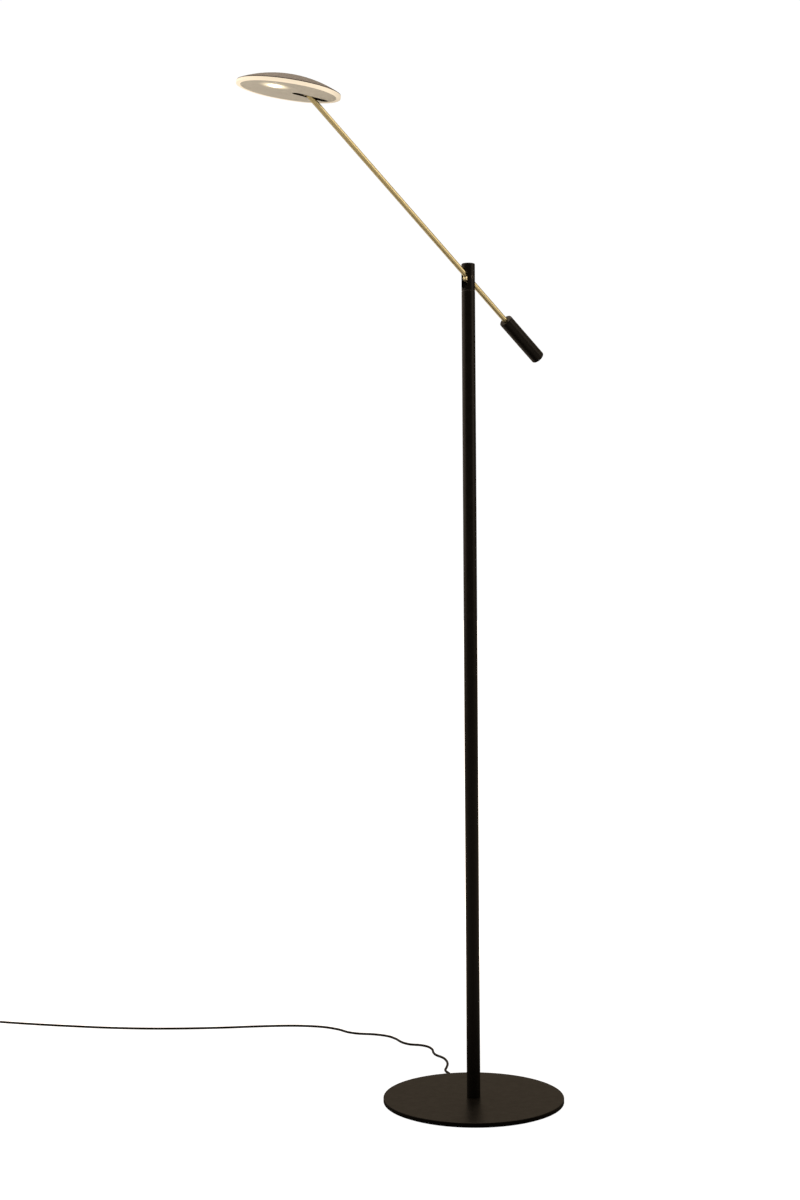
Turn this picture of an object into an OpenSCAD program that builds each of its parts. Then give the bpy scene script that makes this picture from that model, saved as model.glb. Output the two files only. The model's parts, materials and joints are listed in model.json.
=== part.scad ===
// Counterbalanced LED floor lamp: a round base, a slim pole, a swivelling slotted pole head,
// a brass rod with a counterweight at one end and a flat lit disc at the other, and its lead.
// The origin is the centre of the base on the floor; the arm lies over the X axis, head towards -X.

/* [Base and pole] */
// Diameter of the steel base plate
base_d = 280; // [240:5:320]
// Thickness of the steel base plate
base_t = 7; // [7:0.5:9]
// Thickness of the foam pad under the base
pad_t = 1; // [1:0.5:2]
// Outer diameter of the pole
pole_d = 21; // [20:0.5:22]
// Height of the top of the pole tube above the floor
pole_top = 1257; // [900:1:1500]

/* [Pole head and arm] */
// Length of the slotted pole head
head_len = 42; // [40:1:46]
// Width of the slot that the rod passes through
slot_w = 13; // [13:0.1:13.4]
// Angle of the rod below level, measured at the counterweight end
arm_tilt = 36; // [-40:1:40]
// Turn of the rod about its own axis
arm_roll = 11.8; // [-30:0.1:30]
// Outer diameter of the brass rod
rod_d = 8; // [8:0.1:8.2]
// Distance along the rod from the arm pivot to the head hinge
arm_reach = 390; // [300:1:450]
// Distance along the rod from the arm pivot to the counterweight
weight_gap = 99; // [60:1:110]
// Length of the counterweight
weight_len = 90; // [60:1:110]
// Diameter of the counterweight
weight_d = 22; // [18:0.5:26]

/* [Lamp disc] */
// Angle between the rod and the disc
head_tilt = 33; // [17:0.1:145]
// Outer diameter of the lit ring and of the disc
disc_d = 150; // [148:1:156]
// Thickness of the lit ring
ring_t = 4.5; // [4.5:0.1:5]
// Diameter of the grey plate inside the ring
plate_d = 138; // [137:0.5:138.4]
// Height of the domed cover above its lip
dome_h = 17; // [16:0.5:22]

/* [Lead] */
// Diameter of the low-voltage lead
cord_d = 4; // [3.6:0.1:4]
// Direction in which the lead leaves the base
cord_angle = 62; // [56:1:68]
// Turns in the coil, on each of its two layers
coil_turns = 3; // [2:1:3]

/* [Hidden] */
$fn = 96;
eps = 0.01;
run_fit = 0.05;

// heights of the base and the pole
plate_top = pad_t + base_t;
pad_d = base_d - 6;
edge_round = 0.8;
tube_wall = 1.5;
tube_bore = pole_d - 2 * tube_wall;
foot_len = 32;
thread_r = 5;
lead_bore_r = 3.25;
flange_r = 10;
flange_t = 3.4;
cord_r = cord_d / 2;
cord_z = pad_t + cord_r + 0.2;
groove_w = cord_d + 0.6;
groove_top = cord_z + cord_r + 0.6;
counterbore_top = pad_t + 0.2 + flange_t;

// swivel between the pole and the pole head
washer_t = 1;
head_bottom = pole_top + washer_t;
head_top = head_bottom + head_len;
head_round = 1.5;
spigot_r = 6;
spigot_len = 34;
spigot_bore_r = 3;
bush_len = 24;
bush_bottom = pole_top - bush_len;
stop_pin_r = 1;
stop_pin_orbit = 7.3;
stop_ring_t = 2;
wave_t = 1;
nut_t = 5;
stop_ring_top = bush_bottom - 0.2;

// arm pivot
pivot_z = head_bottom + 20;
slot_bottom = head_bottom + 2;
slot_top = head_bottom + 34.5;
barrel_r = 6.5;
barrel_half = slot_w / 2 - 0.5;
dog_r = 1.7;
dog_depth = 1.35;
pivot_screw_r = 3;
rod_r = rod_d / 2;
rod_bore_r = 3;
rod_in_weight = 58;
weight_round = 1.8;
arm_lead_r = 1.3;

// head hinge and the stack of the lamp disc, measured from its underside
disc_r = disc_d / 2;
plate_t = 1.5;
hinge_x = 30;
hinge_z = 5;
trough_inner_x = 15;
trough_outer_x = 57.5;
trough_r = 6;
trough_out_r = trough_r + 1.5;
trough_top = 11;
ring_inner_r = 66.2;
chassis_t = 1.5;
chassis_r = disc_r - 5.5;
chassis_top = ring_t + chassis_t;
dome_r = disc_r - 0.4;
dome_lip = 1;
dome_wall = 1.2;
dome_bottom = ring_t;
dome_sphere_r = (dome_r * dome_r + dome_h * dome_h) / (2 * dome_h);
dome_sphere_z = dome_bottom + dome_lip + dome_h - dome_sphere_r;
trough_roof = 1.2;
spot_x = -32;
spot_y = -17;
spot_r = 10;
post_orbit = 48;
stud_orbit = 60;
pin_r = 1.5;

// route of the lead over the floor, from the strain relief to the coil
relief_len = 24;
relief_start = base_d / 2 - 6;
relief_end = base_d / 2 + relief_len - 4;
exit_dir = [cos(cord_angle), sin(cord_angle)];
coil_x = -350;
coil_y = 1000;
coil_in_angle = 30;
coil_out_angle = 152;
coil_mid_r = 22;
coil_half_w = coil_turns * cord_d / 2;
coil_top = 2 * cord_d;
coil_run_r = coil_mid_r + coil_half_w - cord_r;
route = [
    [relief_end * exit_dir[0], relief_end * exit_dir[1], cord_z], [80, 151, 2.6],
    [88, 161, 2], [100, 171, 2], [114, 184, 2], [127, 201, 2], [136, 220, 2], [139, 240, 2],
    [147, 256, 2], [159, 272, 2], [166, 290, 2], [164, 308, 2], [154, 324, 2], [153, 345, 2],
    [161, 371, 2], [163, 396, 2], [153, 422, 2], [137, 443, 2], [129, 466, 2], [129, 494, 2],
    [118, 530, 2], [86, 570, 2], [38, 608, 2], [-14, 643, 2], [-68, 684, 2], [-121, 731, 2],
    [-170, 784, 2], [-215, 842, 2], [-256, 899, 2], [-291, 952, 2],
    [coil_x + coil_run_r * cos(coil_in_angle) + 20 * sin(coil_in_angle),
     coil_y + coil_run_r * sin(coil_in_angle) - 20 * cos(coil_in_angle), 2],
    [coil_x + coil_run_r * cos(coil_in_angle), coil_y + coil_run_r * sin(coil_in_angle), 2]
];
tail_len = 34;
adapter_l = 66;
adapter_w = 40;
adapter_h = 28;
gland_len = 14;
gland_z = 5;
tail_dir = [-sin(coil_out_angle), cos(coil_out_angle)];
tail_start = [coil_x + coil_run_r * cos(coil_out_angle), coil_y + coil_run_r * sin(coil_out_angle)];
tail_route = [
    for (s = [0, 0.33, 0.67, 1])
        [tail_start[0] + s * tail_len * tail_dir[0], tail_start[1] + s * tail_len * tail_dir[1],
         coil_top - cord_r + (gland_z - coil_top + cord_r) * s]
];

// ---- frames of the moving parts ----

// Frame of the arm pivot with +X along the rod towards the counterweight.
module at_pivot() {
    translate([0, 0, pivot_z])
        rotate([0, arm_tilt, 0])
            children();
}

// Frame of the rod, which is also turned about its own axis.
module at_rod() {
    at_pivot()
        rotate([arm_roll, 0, 0])
            children();
}

// Frame of the lamp disc: origin at the centre of its underside, +X towards the slot, +Z up.
module at_disc() {
    at_rod()
        translate([-arm_reach, 0, 0])
            rotate([0, -head_tilt, 0])
                translate([-hinge_x, 0, -hinge_z])
                    children();
}

// Frame with +X along the direction in which the lead leaves the base.
module at_exit() {
    rotate([0, 0, cord_angle])
        children();
}

// Frame of the power adapter: +X is the way the lead enters it, origin where the tail ends.
module at_adapter() {
    translate([tail_route[3][0], tail_route[3][1], 0])
        rotate([0, 0, coil_out_angle + 90])
            children();
}

// ---- shapes that repeat ----

// Cylinder along Y, centred on the XZ origin, from y0 to y1.
module rod_y(r, y0, y1) {
    translate([0, y1, 0])
        rotate([90, 0, 0])
            cylinder(r = r, h = y1 - y0);
}

// Cylinder along X from x0 to x1.
module rod_x(r, x0, x1) {
    translate([x0, 0, 0])
        rotate([0, 90, 0])
            cylinder(r = r, h = x1 - x0);
}

// Flat ring standing on z0.
module ring(outer_r, inner_r, z0, h) {
    translate([0, 0, z0])
        difference() {
            cylinder(r = outer_r, h = h);
            translate([0, 0, -1])
                cylinder(r = inner_r, h = h + 2);
        }
}

// Long hole with round ends, from x0 to x1 between its end centres.
module long_hole(x0, x1, r, z0, h) {
    translate([x0, 0, z0])
        cylinder(r = r, h = h);
    translate([x1, 0, z0])
        cylinder(r = r, h = h);
    translate([x0, -r, z0])
        cube([x1 - x0, 2 * r, h]);
}

// Copies the children to both sides of the XZ plane.
module both_sides() {
    children();
    mirror([0, 1, 0])
        children();
}

// Copies the children three times round the disc at a given distance from its centre.
module three_round(orbit, start) {
    for (i = [0:2])
        rotate([0, 0, start + 120 * i])
            translate([orbit, 0, 0])
                children();
}

// Point on a smooth curve through a, b, c and d, at part s of the way from b to c.
function curve_at(a, b, c, d, s) =
    0.5 * (2 * b + (c - a) * s + (2 * a - 5 * b + 4 * c - d) * s * s
           + (3 * b - 3 * c + d - a) * s * s * s);

// All points of a smooth curve through pts, with a number of steps for each stretch.
function smooth_path(pts, steps) = [
    for (i = [0:len(pts) - 2])
        for (k = [0:steps - 1])
            curve_at(pts[max(i - 1, 0)], pts[i], pts[i + 1], pts[min(i + 2, len(pts) - 1)], k / steps),
    pts[len(pts) - 1]
];

// Heading of the path at point i.
function heading(path, i) =
    let (step = path[min(i + 1, len(path) - 1)] - path[max(i - 1, 0)])
        step / norm(step);

// Round tube of radius r swept along a path that is nowhere parallel to up.
module swept_tube(path, r, sides, up = [0, 0, 1]) {
    rings = [
        for (i = [0:len(path) - 1])
            let (along = heading(path, i),
                 side = cross(along, up) / norm(cross(along, up)),
                 over = cross(side, along))
                for (k = [0:sides - 1])
                    path[i] + r * (cos(360 * k / sides) * side + sin(360 * k / sides) * over)
    ];
    last = (len(path) - 1) * sides;
    walls = [
        for (i = [0:len(path) - 2])
            for (k = [0:sides - 1])
                [i * sides + k, (i + 1) * sides + k,
                 (i + 1) * sides + (k + 1) % sides, i * sides + (k + 1) % sides]
    ];
    start_face = [for (k = [0:sides - 1]) k];
    end_face = [for (k = [sides - 1:-1:0]) last + k];
    polyhedron(points = rings, faces = concat(walls, [start_face], [end_face]), convexity = 10);
}

// ---- base and pole ----

// Steel disc with an eased edge, a counterbore below and a groove for the lead.
module base_plate() {
    r = base_d / 2;
    color("#2b2420")
        difference() {
            rotate_extrude()
                polygon([
                    [0, pad_t], [r - edge_round, pad_t], [r, pad_t + edge_round],
                    [r, plate_top - edge_round], [r - edge_round, plate_top], [0, plate_top]
                ]);
            cylinder(r = thread_r + 0.2, h = plate_top + 1);
            cylinder(r = flange_r + 0.5, h = counterbore_top);
            at_exit()
                translate([0, -groove_w / 2, 0])
                    cube([r + 1, groove_w, groove_top]);
        }
}

// Thin foam pad over the whole underside, which keeps the bolt and the lead off the floor.
module base_pad() {
    color("#1c1c1c")
        cylinder(r = pad_d / 2, h = pad_t);
}

// Hollow flanged bolt that pulls the pole down on the plate; the lead enters through its side slot.
module hollow_bolt() {
    color("#a9a9a4")
        difference() {
            union() {
                translate([0, 0, pad_t + 0.2])
                    cylinder(r = flange_r, h = flange_t);
                translate([0, 0, pad_t + 0.2])
                    cylinder(r = thread_r - run_fit, h = foot_len);
            }
            cylinder(r = lead_bore_r, h = foot_len + 10);
            at_exit()
                translate([0, -groove_w / 2, 0])
                    cube([flange_r + 1, groove_w, groove_top]);
        }
}

// Threaded steel plug in the bottom of the pole.
module tube_foot() {
    color("#8f8f8a")
        ring(tube_bore / 2, thread_r, plate_top, foot_len);
}

// Steel pole tube.
module pole_tube() {
    color("#0c0a08")
        ring(pole_d / 2, tube_bore / 2, plate_top, pole_top - plate_top);
}

// Bush in the top of the pole, the bearing of the swivel.
module top_bush() {
    color("#b5b5ae")
        difference() {
            ring(tube_bore / 2, spigot_r + run_fit, bush_bottom, bush_len);
            translate([-stop_pin_orbit, 0, bush_bottom - 1])
                cylinder(r = stop_pin_r, h = 6);
        }
}

// Pin under the bush that the stop ring meets at each end of the swivel's turn.
module stop_pin() {
    color("#8f8f8a")
        translate([-stop_pin_orbit, 0, bush_bottom + 0.1 - stop_ring_t])
            cylinder(r = stop_pin_r, h = stop_ring_t + 4.8);
}

// Plastic washer in the seam between the pole and its head.
module swivel_washer() {
    color("#2a2a28")
        ring(pole_d / 2 - 0.4, spigot_r + 0.3, pole_top, washer_t);
}

// Lead inside the base and the pole, up to the swivel, with one bend at the foot of the pole.
module pole_lead() {
    bend_r = 4;
    bend = [
        for (a = [0:15:90])
            [bend_r - bend_r * sin(a), 0, cord_z + bend_r - bend_r * cos(a)]
    ];
    path = concat([[relief_start, 0, cord_z]], bend, [[0, 0, head_bottom]]);
    color("#151515")
        at_exit()
            swept_tube(path, cord_r, 12, [0, 1, 0]);
}

// Tapered rubber strain relief in the rim of the base.
module strain_relief() {
    neck_r = 2.2;
    rim_r = 3;
    color("#161616")
        at_exit()
            translate([0, 0, cord_z])
                rotate([0, 90, 0])
                    rotate_extrude()
                        polygon([
                            [0, relief_start], [neck_r, relief_start], [neck_r, base_d / 2],
                            [rim_r, base_d / 2 + 0.2], [rim_r, base_d / 2 + 3],
                            [cord_r + 0.3, relief_end], [0, relief_end]
                        ]);
}

// ---- pole head, which swivels ----

// Turned head with a long slot for the rod and a hollow spigot down into the bush.
module pole_head() {
    slot_r = slot_w / 2;
    color("#0c0a08")
        difference() {
            union() {
                rotate_extrude() {
                    translate([0, head_bottom])
                        square([pole_d / 2 - head_round, head_len]);
                    translate([0, head_bottom])
                        square([pole_d / 2, head_len - head_round]);
                    translate([pole_d / 2 - head_round, head_top - head_round])
                        circle(r = head_round);
                }
                translate([0, 0, head_bottom - spigot_len])
                    cylinder(r = spigot_r, h = spigot_len);
            }
            for (z = [slot_bottom + slot_r, slot_top - slot_r])
                translate([0, 0, z])
                    rod_x(slot_r, -pole_d, pole_d);
            translate([-pole_d, -slot_r, slot_bottom + slot_r])
                cube([2 * pole_d, slot_w, slot_top - slot_bottom - slot_w]);
            translate([0, 0, head_bottom - spigot_len - 1])
                cylinder(r = spigot_bore_r, h = spigot_len + 10);
            translate([0, 0, pivot_z])
                rod_y(pivot_screw_r, -pole_d, pole_d);
        }
}

// Ring fixed to the spigot, with a lug that limits the turn.
module stop_ring() {
    z0 = stop_ring_top - stop_ring_t + 0.2;
    color("#8f8f8a") {
        ring(spigot_r + 0.2, spigot_r, z0, stop_ring_t - 0.2);
        intersection() {
            ring(stop_pin_orbit + 0.8, spigot_r, z0, stop_ring_t - 0.2);
            translate([0, -1.5, z0])
                cube([pole_d, 3, stop_ring_t]);
        }
    }
}

// Wavy spring washer that gives the swivel its friction.
module wave_washer() {
    color("#b5b5ae")
        ring(spigot_r + 1.9, spigot_r + 0.1, stop_ring_top - stop_ring_t - wave_t + 0.2, wave_t);
}

// Round nut on the end of the spigot, with two spanner slots.
module swivel_nut() {
    z0 = stop_ring_top - stop_ring_t - wave_t - nut_t + 0.2;
    color("#a9a9a4")
        difference() {
            ring(spigot_r + 1.9, spigot_r, z0, nut_t);
            translate([-pole_d, -1, z0 - 1])
                cube([2 * pole_d, 2, 2.5]);
        }
}

// Pair of dog-point screws that carry the barrel, each with a hexagon socket.
module pivot_screws() {
    ear = pole_d / 2 - 0.6;
    color("#1a1815")
        translate([0, 0, pivot_z])
            both_sides()
                difference() {
                    union() {
                        rod_y(pivot_screw_r, slot_w / 2 + 0.1, ear);
                        rod_y(dog_r, barrel_half - dog_depth + 0.1, ear - 1);
                    }
                    translate([0, ear - 1.6, 0])
                        rotate([-90, 0, 0])
                            cylinder(r = 1.5, h = 4, $fn = 6);
                }
}

// ---- barrel, which tilts ----

// Brass barrel across the slot, bored for the rod.
module pivot_barrel() {
    edge = 0.5;
    color("#b0955a")
        at_pivot()
            difference() {
                rotate([90, 0, 0])
                    rotate_extrude()
                        polygon([
                            [0, -barrel_half], [barrel_r - edge, -barrel_half],
                            [barrel_r, -barrel_half + edge], [barrel_r, barrel_half - edge],
                            [barrel_r - edge, barrel_half], [0, barrel_half]
                        ]);
                rod_x(rod_r + run_fit, -pole_d, pole_d);
                both_sides()
                    rod_y(dog_r + run_fit, barrel_half - dog_depth, barrel_half + 1);
                cylinder(r = 1.5, h = pole_d);
            }
}

// Two friction washers between the barrel and the ears of the pole head.
module barrel_washers() {
    color("#d8d4c8")
        at_pivot()
            both_sides()
                difference() {
                    rod_y(barrel_r - 0.6, barrel_half + 0.05, slot_w / 2 - 0.05);
                    rod_y(dog_r + 0.1, 0, slot_w);
                }
}

// Small socket screw in the top of the barrel that brakes the rod's turn.
module rod_brake_screw() {
    color("#1a1815")
        at_pivot()
            difference() {
                translate([0, 0, rod_r + run_fit])
                    cylinder(r = 1.5, h = 2);
                translate([0, 0, rod_r + 1.2])
                    cylinder(r = 0.75, h = 2, $fn = 6);
            }
}

// ---- rod and what it carries ----

// Hollow brass rod with a hole for the lead inside the barrel.
module arm_rod() {
    color("#b0955a")
        at_rod()
            difference() {
                rod_x(rod_r, 4.2 - arm_reach, weight_gap + rod_in_weight);
                rod_x(rod_bore_r, -arm_reach, weight_gap + rod_in_weight + 1);
                translate([0, 0, -rod_d])
                    cylinder(r = 1.5, h = rod_d);
            }
}

// Brass knuckle plugged into the rod, with a groove for the lead.
module rod_knuckle() {
    half = trough_r - 0.5;
    color("#b0955a")
        at_rod()
            translate([-arm_reach, 0, 0])
                difference() {
                    union() {
                        rod_y(rod_r, -half, half);
                        rod_x(rod_bore_r, 0, 18);
                    }
                    rod_y(pin_r + run_fit, -pole_d, pole_d);
                    translate([6, -arm_lead_r, 0.2])
                        cube([20, 2 * arm_lead_r, rod_d]);
                }
}

// Two thin washers beside the knuckle.
module knuckle_washers() {
    color("#d8d4c8")
        at_rod()
            translate([-arm_reach, 0, 0])
                both_sides()
                    difference() {
                        rod_y(rod_r - 0.3, trough_r - 0.45, trough_r - 0.05);
                        rod_y(pin_r + 0.1, 0, trough_r + 1);
                    }
}

// Steel counterweight, bored blind for the rod and cross-drilled for its screw.
module counterweight() {
    r = weight_d / 2;
    x1 = weight_gap + weight_len;
    color("#0d0b09")
        at_rod()
            difference() {
                rotate([0, 90, 0])
                    rotate_extrude() {
                        translate([0, weight_gap])
                            square([r - weight_round, weight_len]);
                        translate([0, weight_gap + weight_round])
                            square([r, weight_len - 2 * weight_round]);
                        for (x = [weight_gap + weight_round, x1 - weight_round])
                            translate([r - weight_round, x])
                                circle(r = weight_round);
                    }
                rod_x(rod_r, weight_gap - 1, weight_gap + rod_in_weight);
                translate([weight_gap + 22, 0, 0])
                    rod_y(2, 0, weight_d);
            }
}

// Grub screw that locks the counterweight on the rod.
module counterweight_screw() {
    color("#1a1815")
        at_rod()
            translate([weight_gap + 22, 0, 0])
                difference() {
                    rod_y(2, rod_r, weight_d / 2 - 0.6);
                    translate([0, weight_d / 2 - 2, 0])
                        rotate([-90, 0, 0])
                            cylinder(r = 1, h = 4, $fn = 6);
                }
}

// Thin two-core lead inside the rod, from the barrel to the knuckle.
module arm_lead() {
    color("#151515")
        at_rod()
            rod_x(arm_lead_r, 19 - arm_reach, 0);
}

// ---- lamp disc ----

// Outline of the domed cover in section, at a given offset inwards.
module dome_section(inset) {
    intersection() {
        translate([0, dome_sphere_z])
            circle(r = dome_sphere_r - inset, $fn = 360);
        translate([0, dome_bottom])
            square([dome_r - inset, dome_h + dome_lip]);
    }
}

// Shallow metal cover with a short upright lip and three screw posts.
module head_dome() {
    color("#7d7062")
        at_disc() {
            rotate_extrude()
                difference() {
                    dome_section(0);
                    translate([0, -eps])
                        dome_section(dome_wall);
                }
            three_round(post_orbit, 60)
                difference() {
                    translate([0, 0, chassis_top])
                        cylinder(r = 3.5, h = 8.5);
                    translate([0, 0, chassis_top - 1])
                        cylinder(r = 1.25, h = 7);
                }
        }
}

// Translucent ring that glows, with a step that seats the grey plate.
module light_ring() {
    seat_r = plate_d / 2 + 0.2;
    color("#f6e4c8")
        at_disc()
            rotate_extrude()
                polygon([
                    [seat_r, 0], [disc_r - 0.6, 0], [disc_r, 0.6], [disc_r, ring_t],
                    [ring_inner_r, ring_t], [ring_inner_r, plate_t], [seat_r, plate_t]
                ]);
}

// Strip of small light sources on the inner wall of the ring, open where the trough ends.
module ring_led_strip() {
    gap = 14;
    color("#f4f1e4")
        at_disc()
            rotate([0, 0, gap])
                rotate_extrude(angle = 360 - 2 * gap)
                    translate([ring_inner_r - 1.2, plate_t + 0.2])
                        square([1, ring_t - plate_t - 0.4]);
}

// Grey plate that closes the underside, with the slot for the rod and the hole for the lens.
module under_plate() {
    color("#a8a094")
        at_disc()
            difference() {
                cylinder(r = plate_d / 2, h = plate_t);
                long_hole(trough_inner_x, trough_outer_x, trough_out_r + 0.2, -1, plate_t + 2);
                translate([spot_x, spot_y, -1])
                    cylinder(r = spot_r + 0.1, h = plate_t + 2);
            }
}

// Three snap studs that hold the grey plate to the chassis.
module plate_studs() {
    color("#e6e2d6")
        at_disc()
            three_round(stud_orbit, 40) {
                translate([0, 0, plate_t])
                    cylinder(r = 3, h = ring_t - plate_t);
                translate([0, 0, ring_t])
                    cylinder(r = 1.5, h = chassis_t);
                translate([0, 0, chassis_top])
                    cylinder(r1 = 2.1, r2 = 1, h = 1.6, $fn = 32);
            }
}

// Aluminium chassis plate that carries everything in the disc and spreads the heat.
module head_chassis() {
    color("#c4c6c8")
        at_disc()
            difference() {
                translate([0, 0, ring_t])
                    cylinder(r = chassis_r, h = chassis_t);
                long_hole(trough_inner_x, trough_outer_x, trough_out_r + 0.2, ring_t - 1, chassis_t + 2);
                translate([hinge_x - 4, -10, ring_t - 1])
                    cube([8, 20, chassis_t + 2]);
                three_round(stud_orbit, 40)
                    translate([0, 0, ring_t - 1])
                        cylinder(r = 1.5, h = chassis_t + 2);
                three_round(post_orbit, 60)
                    translate([0, 0, ring_t - 1])
                        cylinder(r = 1.7, h = chassis_t + 2);
                for (x = [trough_inner_x, trough_outer_x - 8], y = [-13, 13])
                    translate([x, y, ring_t - 1])
                        cylinder(r = 1.25, h = chassis_t + 2);
            }
}

// Long block with round ends above the slot, kept a given distance inside the domed cover.
module trough_block(r, z0, z1, inset) {
    intersection() {
        long_hole(trough_inner_x, trough_outer_x, r, z0, z1 - z0);
        translate([0, 0, dome_sphere_z])
            sphere(r = dome_sphere_r - inset);
    }
}

// Black cast trough that lines the slot, whose walls carry the hinge pin.
module hinge_yoke() {
    flange_half = 16;
    flange_thick = 1.6;
    inset = dome_wall + 0.5;
    color("#141210")
        at_disc()
            difference() {
                union() {
                    trough_block(trough_out_r, 0, trough_top, inset);
                    translate([hinge_x, 0, hinge_z])
                        rod_y(3.4, -9.6, 9.6);
                    for (x = [trough_inner_x, trough_outer_x - 8])
                        translate([x - 4, -flange_half, chassis_top])
                            cube([8, 2 * flange_half, flange_thick]);
                }
                trough_block(trough_r, -1, trough_top - trough_roof, inset + trough_roof);
                translate([hinge_x, 0, hinge_z])
                    rod_y(pin_r, -12, 12);
                for (x = [trough_inner_x, trough_outer_x - 8], y = [-13, 13])
                    translate([x, y, chassis_top - 1])
                        cylinder(r = 1.6, h = flange_thick + 2);
            }
}

// Steel pin through the yoke and the knuckle.
module hinge_pin() {
    color("#c8c8c4")
        at_disc()
            translate([hinge_x, 0, hinge_z])
                rod_y(pin_r, -9.4, 9.4);
}

// Four pan-head screws that hold the yoke to the chassis.
module yoke_screws() {
    color("#b8b8b2")
        at_disc()
            for (x = [trough_inner_x, trough_outer_x - 8], y = [-13, 13])
                translate([x, y, ring_t]) {
                    cylinder(r = 1.25, h = chassis_t + 1.6);
                    translate([0, 0, chassis_t + 1.6])
                        cylinder(r = 2.6, h = 1.4);
                }
}

// Three screws from below the chassis into the posts of the cover.
module dome_screws() {
    color("#b8b8b2")
        at_disc()
            three_round(post_orbit, 60) {
                translate([0, 0, ring_t - 1.6])
                    cylinder(r = 2.8, h = 1.6);
                translate([0, 0, ring_t])
                    cylinder(r = 1.25, h = chassis_t + 5);
            }
}

// Round board with the spot light source, on the underside of the chassis.
module spot_board() {
    board_t = 1;
    color("#e9e7dc")
        at_disc()
            translate([spot_x, spot_y, 0]) {
                translate([0, 0, ring_t - board_t])
                    cylinder(r = spot_r - 0.5, h = board_t);
                translate([-2.5, -2.5, ring_t - board_t - 0.6])
                    cube([5, 5, 0.6]);
            }
}

// Clear lens in the grey plate, bulging a little below it.
module spot_lens() {
    bulge = 0.9;
    lens_sphere = (spot_r * spot_r + bulge * bulge) / (2 * bulge);
    color("#fff6e2")
        at_disc()
            translate([spot_x, spot_y, 0])
                rotate_extrude() {
                    square([spot_r, plate_t + 0.8]);
                    intersection() {
                        translate([0, lens_sphere - bulge])
                            circle(r = lens_sphere, $fn = 180);
                        translate([0, -bulge])
                            square([spot_r, bulge + 0.5]);
                    }
                }
}

// Small driver board on the chassis, with a choke, two capacitors and a terminal block.
module driver_board() {
    board = [40, 20, 1.2];
    board_y = 18;
    board_z = chassis_top + 2;
    color("#2e5a3a")
        at_disc()
            translate([-30, board_y, board_z]) {
                cube(board);
                for (x = [3, board[0] - 3], y = [3, board[1] - 3])
                    translate([x, y, -2])
                        cylinder(r = 1.5, h = 2);
                translate([8, 4, board[2]])
                    cube([8, 8, 4]);
                translate([24, 6, board[2]])
                    cylinder(r = 2.5, h = 5);
                translate([24, 13, board[2]])
                    cylinder(r = 2.5, h = 4);
                translate([31, 4, board[2]])
                    cube([6, 10, 3.5]);
            }
}

// ---- free lead, its coil and the power adapter ----

// Lead over the floor, from the strain relief to the coil.
module cord_lead() {
    color("#151515")
        swept_tube(smooth_path(route, 2), cord_r, 10);
}

// Outer shape of the coil of spare lead.
module cord_coil() {
    color("#151515")
        translate([coil_x, coil_y, 0])
            ring(coil_mid_r + coil_half_w, coil_mid_r - coil_half_w, 0, coil_top);
}

// Wire tie round the coil.
module cord_tie() {
    band = 0.8;
    width = 5;
    slack = 0.3;
    color("#222222")
        translate([coil_x, coil_y, 0])
            rotate([0, 0, 245])
                translate([coil_mid_r, 0, 0])
                    difference() {
                        translate([-coil_half_w - slack - band, -width / 2, 0])
                            cube([2 * (coil_half_w + band) + slack, width, coil_top + band]);
                        translate([-coil_half_w - slack, -width, -1])
                            cube([2 * coil_half_w + slack + eps, 2 * width, coil_top + 1]);
                    }
}

// Short end of the lead, from the top of the coil to the adapter.
module cord_tail() {
    color("#151515")
        swept_tube(smooth_path(tail_route, 2), cord_r, 10);
}

// Plug-in power adapter lying on its side, with a gland for the lead.
module adapter_body() {
    corner = 4;
    color("#121212")
        at_adapter() {
            translate([0, 0, gland_z])
                rotate([0, 90, 0])
                    cylinder(r1 = cord_r + 0.6, r2 = 4, h = gland_len, $fn = 48);
            translate([gland_len + corner, -adapter_w / 2 + corner, 0])
                linear_extrude(adapter_h)
                    offset(r = corner)
                        square([adapter_l - 2 * corner, adapter_w - 2 * corner]);
        }
}

// Two flat blades of the adapter.
module adapter_pins() {
    color("#c9b98a")
        at_adapter()
            for (z = [adapter_h / 2 - 6.35, adapter_h / 2 + 6.35])
                translate([gland_len + adapter_l - 22, adapter_w / 2, z - 0.75])
                    cube([6.3, 17, 1.5]);
}

base_plate();
base_pad();
hollow_bolt();
tube_foot();
pole_tube();
top_bush();
stop_pin();
swivel_washer();
pole_lead();
strain_relief();
pole_head();
stop_ring();
wave_washer();
swivel_nut();
pivot_screws();
pivot_barrel();
barrel_washers();
rod_brake_screw();
arm_rod();
rod_knuckle();
knuckle_washers();
counterweight();
counterweight_screw();
arm_lead();
head_dome();
light_ring();
ring_led_strip();
under_plate();
plate_studs();
head_chassis();
hinge_yoke();
hinge_pin();
yoke_screws();
dome_screws();
spot_board();
spot_lens();
driver_board();
cord_lead();
cord_coil();
cord_tie();
cord_tail();
adapter_body();
adapter_pins();
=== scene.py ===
import json
import math

import bmesh
import bpy
from mathutils import Matrix, Vector


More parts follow.
